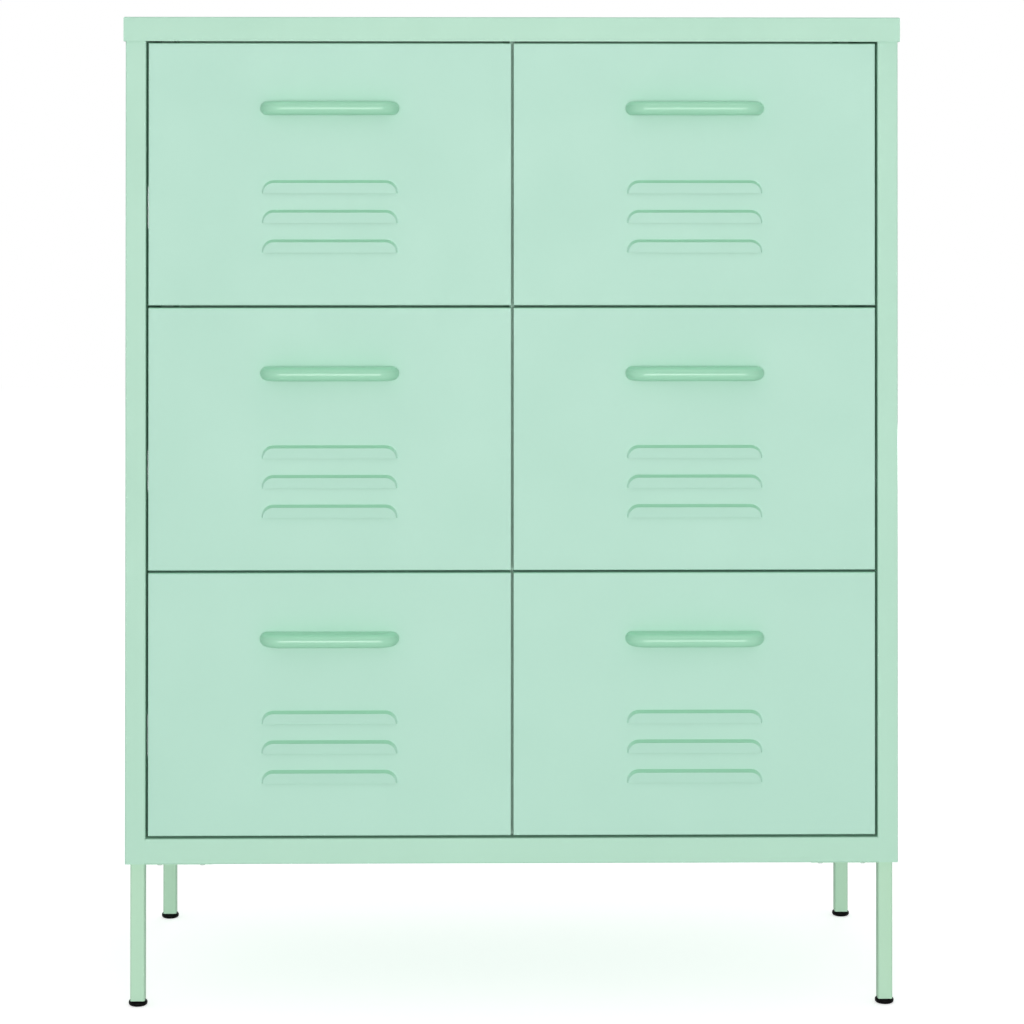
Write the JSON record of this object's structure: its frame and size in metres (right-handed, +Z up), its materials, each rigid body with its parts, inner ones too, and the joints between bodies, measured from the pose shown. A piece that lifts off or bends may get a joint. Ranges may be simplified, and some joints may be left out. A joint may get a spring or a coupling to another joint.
{
  "type": "drawer cabinet",
  "caption": "Free-standing sheet-steel drawer cabinet on slim square legs, with louvred drawer fronts, pull handles and drawers on telescopic runners.",
  "frame": {"origin": "on the floor, under the middle of the whole cabinet's width and depth, handles and lid included", "axes": "+Z up, +X to the right as seen from the front, +Y towards the back; the drawers open towards -Y"},
  "size_m": [0.8, 0.3704, 1.0185],
  "materials": {
    "mint_paint": "satin powder coat",
    "mint_handle": "smooth semi-gloss powder coat",
    "zinc_steel": "bright zinc plating",
    "black_plastic": "moulded black plastic"
  },
  "bodies": {
    "carcass": {"lid": "mint_paint", "left_side_panel": "mint_paint", "right_side_panel": "mint_paint", "back_panel": "mint_paint", "bottom_panel": "mint_paint", "centre_divider": "mint_paint", "front_left_leg": "mint_paint", "front_right_leg": "mint_paint", "back_left_leg": "mint_paint", "back_right_leg": "mint_paint", "front_left_foot": "black_plastic", "front_right_foot": "black_plastic", "back_left_foot": "black_plastic", "back_right_foot": "black_plastic", "leg_bolts": "zinc_steel", "leg_nuts": "zinc_steel", "back_screws": "zinc_steel", "bottom_left_outer_rails": "zinc_steel", "bottom_right_outer_rails": "zinc_steel", "middle_left_outer_rails": "zinc_steel", "middle_right_outer_rails": "zinc_steel", "top_left_outer_rails": "zinc_steel", "top_right_outer_rails": "zinc_steel"},
    "bottom_left_drawer": {"bottom_left_front": "mint_paint", "bottom_left_box": "mint_paint", "bottom_left_handle": "mint_handle", "bottom_left_handle_screws": "zinc_steel", "bottom_left_inner_rails": "zinc_steel"},
    "bottom_left_middle_rails_body": {"bottom_left_middle_rails": "zinc_steel"},
    "bottom_right_drawer": {"bottom_right_front": "mint_paint", "bottom_right_box": "mint_paint", "bottom_right_handle": "mint_handle", "bottom_right_handle_screws": "zinc_steel", "bottom_right_inner_rails": "zinc_steel"},
    "bottom_right_middle_rails_body": {"bottom_right_middle_rails": "zinc_steel"},
    "middle_left_drawer": {"middle_left_front": "mint_paint", "middle_left_box": "mint_paint", "middle_left_handle": "mint_handle", "middle_left_handle_screws": "zinc_steel", "middle_left_inner_rails": "zinc_steel"},
    "middle_left_middle_rails_body": {"middle_left_middle_rails": "zinc_steel"},
    "middle_right_drawer": {"middle_right_front": "mint_paint", "middle_right_box": "mint_paint", "middle_right_handle": "mint_handle", "middle_right_handle_screws": "zinc_steel", "middle_right_inner_rails": "zinc_steel"},
    "middle_right_middle_rails_body": {"middle_right_middle_rails": "zinc_steel"},
    "top_left_drawer": {"top_left_front": "mint_paint", "top_left_box": "mint_paint", "top_left_handle": "mint_handle", "top_left_handle_screws": "zinc_steel", "top_left_inner_rails": "zinc_steel"},
    "top_left_middle_rails_body": {"top_left_middle_rails": "zinc_steel"},
    "top_right_drawer": {"top_right_front": "mint_paint", "top_right_box": "mint_paint", "top_right_handle": "mint_handle", "top_right_handle_screws": "zinc_steel", "top_right_inner_rails": "zinc_steel"},
    "top_right_middle_rails_body": {"top_right_middle_rails": "zinc_steel"}
  },
  "joints": [
    {"name": "bottom_left_drawer_slide", "type": "slide", "parent": "carcass", "child": "bottom_left_drawer", "axis": [0, -1, 0], "range_m": [0, 0.28]},
    {"name": "bottom_left_rail_slide", "type": "slide", "parent": "carcass", "child": "bottom_left_middle_rails_body", "axis": [0, -1, 0], "range_m": [0, 0.14]},
    {"name": "bottom_right_drawer_slide", "type": "slide", "parent": "carcass", "child": "bottom_right_drawer", "axis": [0, -1, 0], "range_m": [0, 0.28]},
    {"name": "bottom_right_rail_slide", "type": "slide", "parent": "carcass", "child": "bottom_right_middle_rails_body", "axis": [0, -1, 0], "range_m": [0, 0.14]},
    {"name": "middle_left_drawer_slide", "type": "slide", "parent": "carcass", "child": "middle_left_drawer", "axis": [0, -1, 0], "range_m": [0, 0.28]},
    {"name": "middle_left_rail_slide", "type": "slide", "parent": "carcass", "child": "middle_left_middle_rails_body", "axis": [0, -1, 0], "range_m": [0, 0.14]},
    {"name": "middle_right_drawer_slide", "type": "slide", "parent": "carcass", "child": "middle_right_drawer", "axis": [0, -1, 0], "range_m": [0, 0.28]},
    {"name": "middle_right_rail_slide", "type": "slide", "parent": "carcass", "child": "middle_right_middle_rails_body", "axis": [0, -1, 0], "range_m": [0, 0.14]},
    {"name": "top_left_drawer_slide", "type": "slide", "parent": "carcass", "child": "top_left_drawer", "axis": [0, -1, 0], "range_m": [0, 0.28]},
    {"name": "top_left_rail_slide", "type": "slide", "parent": "carcass", "child": "top_left_middle_rails_body", "axis": [0, -1, 0], "range_m": [0, 0.14]},
    {"name": "top_right_drawer_slide", "type": "slide", "parent": "carcass", "child": "top_right_drawer", "axis": [0, -1, 0], "range_m": [0, 0.28]},
    {"name": "top_right_rail_slide", "type": "slide", "parent": "carcass", "child": "top_right_middle_rails_body", "axis": [0, -1, 0], "range_m": [0, 0.14]}
  ],
  "couplings": [
    {"joint": "bottom_left_rail_slide", "follows": "bottom_left_drawer_slide", "ratio": 0.5},
    {"joint": "bottom_right_rail_slide", "follows": "bottom_right_drawer_slide", "ratio": 0.5},
    {"joint": "middle_left_rail_slide", "follows": "middle_left_drawer_slide", "ratio": 0.5},
    {"joint": "middle_right_rail_slide", "follows": "middle_right_drawer_slide", "ratio": 0.5},
    {"joint": "top_left_rail_slide", "follows": "top_left_drawer_slide", "ratio": 0.5},
    {"joint": "top_right_rail_slide", "follows": "top_right_drawer_slide", "ratio": 0.5}
  ]
}
